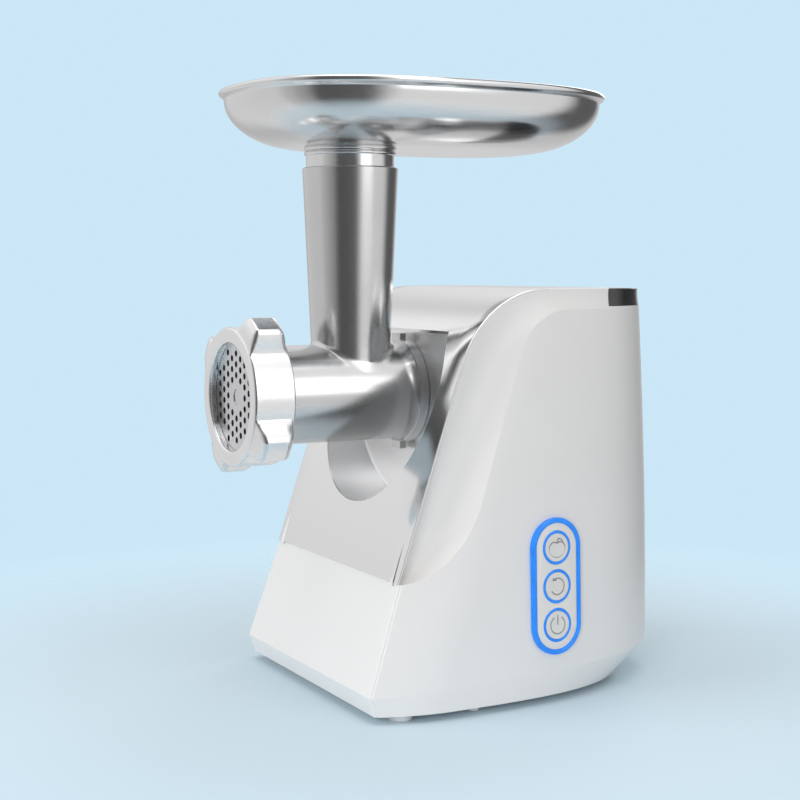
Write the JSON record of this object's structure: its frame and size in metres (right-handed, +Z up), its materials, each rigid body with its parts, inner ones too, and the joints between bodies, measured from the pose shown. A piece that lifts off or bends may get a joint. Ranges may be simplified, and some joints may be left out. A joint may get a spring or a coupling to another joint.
{
  "type": "electric meat grinder",
  "caption": "Electric meat grinder: white motor base with a bent polished steel front, removable metal grinding head, oval steel food tray on top, and a column of push buttons on one side.",
  "frame": {"origin": "bottom centre of the bounding box, on the surface the feet stand on", "axes": "+Z up, -Y towards the outlet of the grinding head, +X towards the side with the push buttons"},
  "size_m": [0.1734, 0.2442, 0.3199],
  "materials": {
    "spun_steel": "bright satin",
    "cast_aluminium": "satin polished",
    "ground_steel": "ground",
    "nylon": "natural nylon",
    "white_plastic": "satin gloss white",
    "mirror_steel": "mirror polished sheet",
    "black_plastic": "gloss black",
    "grey_rubber": "pale grey",
    "zinc_steel": "zinc plated",
    "blue_light": "lit blue",
    "satin_panel": "satin",
    "button_plastic": "satin",
    "board": "solder mask",
    "gearbox_cast": "die cast",
    "sintered_bronze": "sintered",
    "dark_steel": "turned",
    "laminated_steel": "laminated",
    "copper": "enamelled copper",
    "carbon": "carbon"
  },
  "bodies": {
    "base": {"main_housing": "white_plastic", "steel_panel": "mirror_steel", "head_seat": "mirror_steel", "rear_top_cap": "black_plastic", "base_plate": "white_plastic", "feet": "grey_rubber", "base_screws": "zinc_steel", "panel_band_light": "blue_light", "control_plate": "satin_panel", "button_halos": "blue_light", "control_board": "board", "micro_switches": "black_plastic", "cord_gland": "white_plastic", "gearbox_front": "gearbox_cast", "gearbox_rear": "gearbox_cast", "gearbox_screws": "zinc_steel", "front_bush": "sintered_bronze", "rear_bearing": "zinc_steel", "gear_pins": "dark_steel", "stator": "laminated_steel", "field_coils": "copper", "motor_front_bracket": "gearbox_cast", "motor_rear_bracket": "gearbox_cast", "rotor_bearings": "zinc_steel", "carbon_brushes": "carbon"},
    "head": {"grinder_head": "cast_aluminium", "auger_bush": "nylon"},
    "tray": {"tray": "spun_steel"},
    "ring_nut": {"ring_nut": "cast_aluminium", "cutting_plate": "ground_steel"},
    "auger": {"auger": "cast_aluminium", "cross_blade": "ground_steel"},
    "output": {"drive_socket": "dark_steel", "output_gear": "nylon"},
    "second_gear": {"second_gear": "nylon"},
    "first_gear": {"first_gear": "nylon"},
    "rotor": {"rotor_shaft": "dark_steel", "rotor_core": "laminated_steel", "commutator": "copper", "motor_pinion": "dark_steel", "cooling_fan": "black_plastic"},
    "fruit_button": {"fruit_button": "button_plastic"},
    "reverse_button": {"reverse_button": "button_plastic"},
    "power_button": {"power_button": "button_plastic"}
  },
  "joints": [
    {"name": "head_slide", "type": "slide", "parent": "base", "child": "head", "axis": [0, -1, 0], "range_m": [0, 0.06]},
    {"name": "tray_lift", "type": "slide", "parent": "head", "child": "tray", "axis": [0, 0, 1], "range_m": [0, 0.05]},
    {"name": "ring_nut_slide", "type": "slide", "parent": "head", "child": "ring_nut", "axis": [0, -1, 0], "range_m": [0, 0.045]},
    {"name": "rotor_spin", "type": "hinge", "parent": "base", "child": "rotor", "pos_m": [-0.00037, -0.05157, 0.068], "axis": [0, 1, 0], "continuous": true},
    {"name": "first_gear_spin", "type": "hinge", "parent": "base", "child": "first_gear", "pos_m": [-0.01082, -0.05157, 0.0993], "axis": [0, 1, 0], "continuous": true},
    {"name": "second_gear_spin", "type": "hinge", "parent": "base", "child": "second_gear", "pos_m": [0.02181, -0.05157, 0.11778], "axis": [0, 1, 0], "continuous": true},
    {"name": "output_spin", "type": "hinge", "parent": "base", "child": "output", "pos_m": [-0.00037, -0.05157, 0.1595], "axis": [0, 1, 0], "continuous": true},
    {"name": "auger_spin", "type": "hinge", "parent": "head", "child": "auger", "pos_m": [-0.00037, -0.05157, 0.1595], "axis": [0, 1, 0], "continuous": true},
    {"name": "fruit_press", "type": "slide", "parent": "base", "child": "fruit_button", "axis": [-0.9971, -0.0692, -0.0307], "range_m": [0, 0.0012], "stiffness_N_per_m": 900, "springref_m": -0.0006},
    {"name": "reverse_press", "type": "slide", "parent": "base", "child": "reverse_button", "axis": [-0.9971, -0.0692, -0.0307], "range_m": [0, 0.0012], "stiffness_N_per_m": 900, "springref_m": -0.0006},
    {"name": "power_press", "type": "slide", "parent": "base", "child": "power_button", "axis": [-0.9971, -0.0692, -0.0307], "range_m": [0, 0.0012], "stiffness_N_per_m": 900, "springref_m": -0.0006}
  ],
  "couplings": [
    {"joint": "first_gear_spin", "follows": "rotor_spin", "ratio": -0.22222},
    {"joint": "second_gear_spin", "follows": "rotor_spin", "ratio": 0.055556},
    {"joint": "output_spin", "follows": "rotor_spin", "ratio": -0.015873},
    {"joint": "auger_spin", "follows": "rotor_spin", "ratio": -0.015873}
  ]
}
